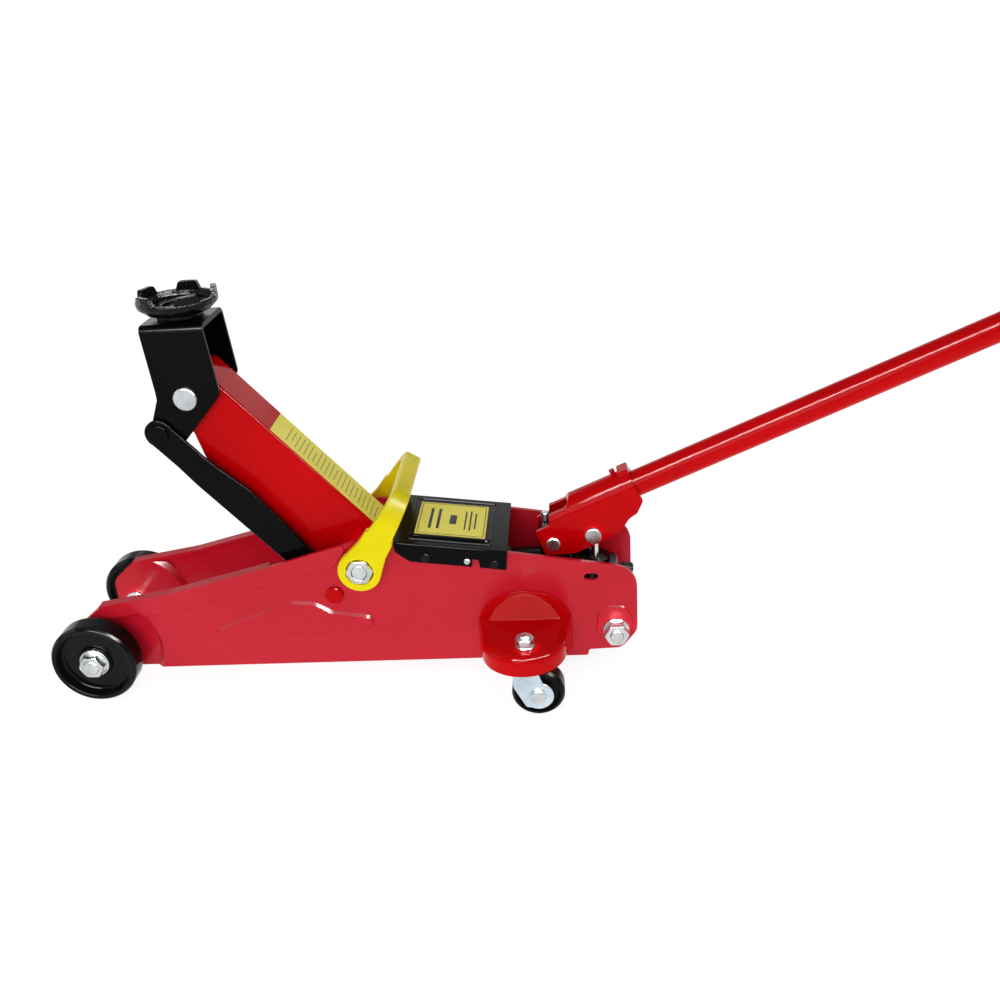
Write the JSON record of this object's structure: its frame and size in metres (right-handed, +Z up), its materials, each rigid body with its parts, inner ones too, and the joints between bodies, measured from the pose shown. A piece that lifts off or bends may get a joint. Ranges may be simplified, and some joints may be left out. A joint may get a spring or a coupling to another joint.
{
  "type": "trolley jack",
  "caption": "Low-profile hydraulic trolley jack: parallel-link lift arm with a swivelling cup saddle, pump handle, carry bail, front wheels and rear swivel casters.",
  "frame": {"origin": "on the ground at the middle of the jack's overall box, arm raised and handle as drawn", "axes": "+X from the saddle end towards the handle's grip, +Y to the right-hand side seen from the handle, +Z up"},
  "size_m": [0.9216, 0.205, 0.3507],
  "materials": {
    "red_paint": "gloss",
    "black_paint": "gloss",
    "cast_black": "satin paint over cast texture",
    "zinc": "zinc plated",
    "bright_zinc": "blue-white zinc plated",
    "rivet_steel": "zinc plated, dull",
    "polished_steel": "ground and polished",
    "wheel_black": "satin",
    "wheel_plastic": "satin",
    "bail_yellow": "satin moulded",
    "label_yellow": "printed vinyl",
    "seal_rubber": "matt",
    "grip_rubber": "matt ribbed"
  },
  "bodies": {
    "frame": {"side_plate_left": "red_paint", "side_plate_right": "red_paint", "caster_bracket_left": "red_paint", "caster_bracket_right": "red_paint", "front_axle": "zinc", "axle_nuts": "zinc", "main_pivot_bolt": "zinc", "main_pivot_nut": "zinc", "pivot_spacers": "zinc", "link_rivets": "red_paint", "rear_tie": "zinc", "rear_tie_nut": "zinc", "rear_tie_sleeves": "zinc", "caster_rivets": "red_paint", "king_bolts": "zinc", "king_nuts": "zinc", "caster_races": "bright_zinc", "cylinder_barrel": "polished_steel", "oil_tank": "black_paint", "tank_head": "cast_black", "filler_plug": "seal_rubber", "power_block": "cast_black", "pump_cylinder": "cast_black", "vent_screw": "zinc", "unit_side_screws": "cast_black", "socket_pivot_pin": "rivet_steel", "cover_plate": "black_paint", "cover_screws": "zinc", "cover_label": "label_yellow"},
    "lift_arm_body": {"lift_arm": "red_paint", "arm_pivot_tube": "red_paint", "crank_pin": "zinc", "arm_label": "label_yellow"},
    "saddle_bracket_body": {"saddle_bracket": "black_paint", "arm_tip_pin": "rivet_steel", "link_tip_pins": "black_paint"},
    "saddle_body": {"saddle": "cast_black", "saddle_clip": "zinc"},
    "link_left_body": {"link_left": "black_paint"},
    "link_right_body": {"link_right": "black_paint"},
    "ram_body": {"ram_head": "cast_black", "ram_rod": "polished_steel", "piston_seal": "seal_rubber"},
    "handle_body": {"handle_socket": "red_paint", "clamp_screw": "red_paint", "drive_pin": "rivet_steel", "handle_lower_tube": "red_paint", "handle_upper_tube": "red_paint", "handle_grip": "grip_rubber"},
    "plunger_body": {"pump_plunger": "polished_steel"},
    "release_valve_body": {"release_valve": "cast_black"},
    "front_wheel_left_body": {"front_wheel_left": "wheel_black"},
    "front_wheel_right_body": {"front_wheel_right": "wheel_black"},
    "caster_left_body": {"caster_fork_left": "bright_zinc", "caster_axle_left": "zinc"},
    "caster_right_body": {"caster_fork_right": "bright_zinc", "caster_axle_right": "zinc"},
    "caster_wheel_left_body": {"caster_wheel_left": "wheel_plastic"},
    "caster_wheel_right_body": {"caster_wheel_right": "wheel_plastic"},
    "carry_bail_body": {"carry_bail": "bail_yellow"}
  },
  "joints": [
    {"name": "arm_lift", "type": "hinge", "parent": "frame", "child": "lift_arm_body", "pos_m": [-0.21518, 0, 0.0995], "axis": [0, 1, 0], "range_deg": [-60, 15]},
    {"name": "bracket_level", "type": "hinge", "parent": "lift_arm_body", "child": "saddle_bracket_body", "pos_m": [-0.32768, 0, 0.2315], "axis": [0, 1, 0], "range_deg": [-16, 61]},
    {"name": "saddle_swivel", "type": "hinge", "parent": "saddle_bracket_body", "child": "saddle_body", "pos_m": [-0.32888, 0, 0.29], "axis": [0, 0, 1], "continuous": true},
    {"name": "link_left_swing", "type": "hinge", "parent": "frame", "child": "link_left_body", "pos_m": [-0.23898, 0, 0.0745], "axis": [0, 1, 0], "range_deg": [-61, 16]},
    {"name": "link_right_swing", "type": "hinge", "parent": "frame", "child": "link_right_body", "pos_m": [-0.23898, 0, 0.0745], "axis": [0, 1, 0], "range_deg": [-61, 16]},
    {"name": "ram_slide", "type": "slide", "parent": "frame", "child": "ram_body", "axis": [-1, 0, 0], "range_m": [-0.0465, 0.0115]},
    {"name": "handle_pump", "type": "hinge", "parent": "frame", "child": "handle_body", "pos_m": [-0.07248, 0, 0.0982], "axis": [0, -1, 0], "range_deg": [-12, 25]},
    {"name": "plunger_stroke", "type": "slide", "parent": "frame", "child": "plunger_body", "axis": [0, 0, 1], "range_m": [-0.0062, 0.0128]},
    {"name": "release_turn", "type": "hinge", "parent": "frame", "child": "release_valve_body", "pos_m": [-0.03218, 0, 0.0684], "axis": [0.9903, 0, -0.1392], "range_deg": [0, 270]},
    {"name": "front_roll_left", "type": "hinge", "parent": "frame", "child": "front_wheel_left_body", "pos_m": [-0.42848, -0.0539, 0.0331], "axis": [0, 1, 0], "continuous": true},
    {"name": "front_roll_right", "type": "hinge", "parent": "frame", "child": "front_wheel_right_body", "pos_m": [-0.42848, 0.0539, 0.0331], "axis": [0, 1, 0], "continuous": true},
    {"name": "caster_swivel_left", "type": "hinge", "parent": "frame", "child": "caster_left_body", "pos_m": [-0.09448, -0.086, 0.044], "axis": [0, 0, 1], "continuous": true},
    {"name": "caster_swivel_right", "type": "hinge", "parent": "frame", "child": "caster_right_body", "pos_m": [-0.09448, 0.086, 0.044], "axis": [0, 0, 1], "continuous": true},
    {"name": "caster_roll_left", "type": "hinge", "parent": "caster_left_body", "child": "caster_wheel_left_body", "pos_m": [-0.08648, -0.086, 0.0192], "axis": [0, 1, 0], "continuous": true},
    {"name": "caster_roll_right", "type": "hinge", "parent": "caster_right_body", "child": "caster_wheel_right_body", "pos_m": [-0.08648, 0.086, 0.0192], "axis": [0, 1, 0], "continuous": true},
    {"name": "bail_swing", "type": "hinge", "parent": "frame", "child": "carry_bail_body", "pos_m": [-0.21518, 0, 0.0995], "axis": [0, -1, 0], "range_deg": [-27, 29]}
  ],
  "couplings": [
    {"joint": "bracket_level", "follows": "arm_lift", "ratio": -1},
    {"joint": "link_left_swing", "follows": "arm_lift", "ratio": 1},
    {"joint": "link_right_swing", "follows": "arm_lift", "ratio": 1},
    {"joint": "ram_slide", "follows": "arm_lift", "m_per_rad": 0.0425},
    {"joint": "plunger_stroke", "follows": "handle_pump", "m_per_rad": 0.0285}
  ]
}
